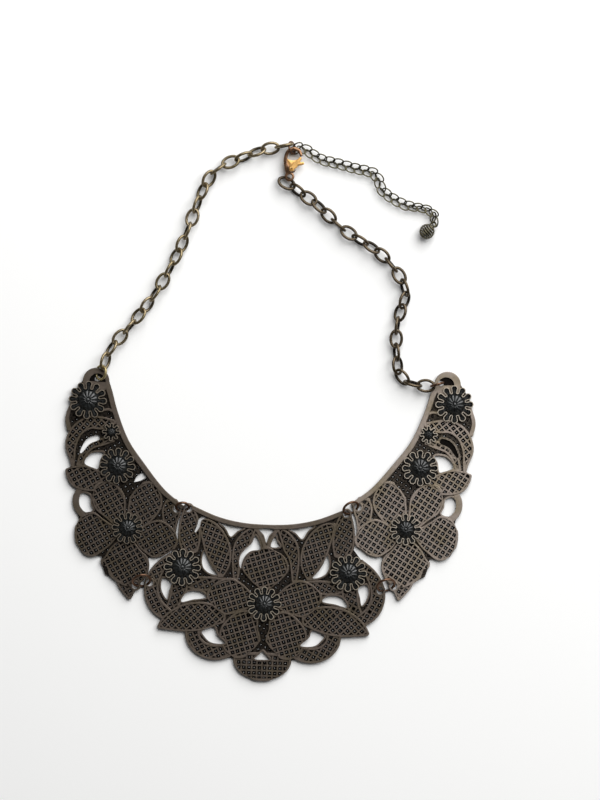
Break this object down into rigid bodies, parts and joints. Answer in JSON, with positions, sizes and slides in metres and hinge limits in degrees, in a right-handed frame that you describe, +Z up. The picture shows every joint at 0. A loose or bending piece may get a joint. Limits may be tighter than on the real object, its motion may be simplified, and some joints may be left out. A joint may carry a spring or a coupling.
{
  "type": "bib necklace",
  "caption": "Openwork bib necklace of hinged floral plates with black fluted rosettes, cable chains, a lobster clasp and a fine extender chain, laid flat.",
  "frame": {"origin": "under the middle of the necklace's bounding box, on the surface it lies on", "axes": "+Y from the bib plates up to the clasp, +X towards the right plate as seen from above, +Z up off the surface"},
  "size_m": [0.164, 0.2162, 0.0067],
  "materials": {
    "plate_metal": "antique copper plated casting, dark in the recesses and rubbed bright on the raised rims",
    "black_insert": "glossy black, fluted",
    "chain_metal": "antique plated wire, satin gloss",
    "ring_metal": "antique copper plated wire, glossy",
    "clasp_metal": "polished copper-gold plating",
    "extender_metal": "dark olive plated wire, satin gloss"
  },
  "bodies": {
    "necklace": {"right_plate": "plate_metal", "right_tip_insert": "black_insert", "right_small_insert": "black_insert", "right_middle_insert": "black_insert", "right_flower_insert": "black_insert", "left_plate": "plate_metal", "left_tip_insert": "black_insert", "left_small_insert": "black_insert", "left_middle_insert": "black_insert", "left_flower_insert": "black_insert", "centre_plate": "plate_metal", "centre_flower_insert": "black_insert", "centre_right_insert": "black_insert", "centre_left_insert": "black_insert", "upper_right_ring": "ring_metal", "upper_left_ring": "ring_metal", "lower_right_ring": "ring_metal", "lower_left_ring": "ring_metal", "left_link_01": "chain_metal", "left_link_02": "chain_metal", "left_link_03": "chain_metal", "left_link_04": "chain_metal", "left_link_05": "chain_metal", "left_link_06": "chain_metal", "left_link_07": "chain_metal", "left_link_08": "chain_metal", "left_link_09": "chain_metal", "left_link_10": "chain_metal", "left_link_11": "chain_metal", "left_link_12": "chain_metal", "left_link_13": "chain_metal", "left_link_14": "chain_metal", "left_link_15": "chain_metal", "left_chain_run": "chain_metal", "right_link_01": "chain_metal", "right_link_02": "chain_metal", "right_link_03": "chain_metal", "right_link_04": "chain_metal", "right_link_05": "chain_metal", "right_link_06": "chain_metal", "right_link_07": "chain_metal", "right_link_08": "chain_metal", "right_link_09": "chain_metal", "right_link_10": "chain_metal", "right_link_11": "chain_metal", "right_link_12": "chain_metal", "right_link_13": "chain_metal", "right_link_14": "chain_metal", "right_link_15": "chain_metal", "right_chain_run": "chain_metal", "right_end_ring": "ring_metal", "left_end_ring": "ring_metal", "clasp_ring": "ring_metal", "clasp_body": "clasp_metal", "extender_upper_run": "extender_metal", "extender_lower_run": "extender_metal", "extender_drop": "extender_metal"},
    "lever": {"clasp_lever": "clasp_metal"}
  },
  "joints": [
    {"name": "clasp_lever_hinge", "type": "hinge", "parent": "necklace", "child": "lever", "pos_m": [0.00849, 0.09679, 0.00285], "axis": [0, 0, 1], "range_deg": [0, 15], "stiffness_Nm_per_rad": 0.002}
  ]
}
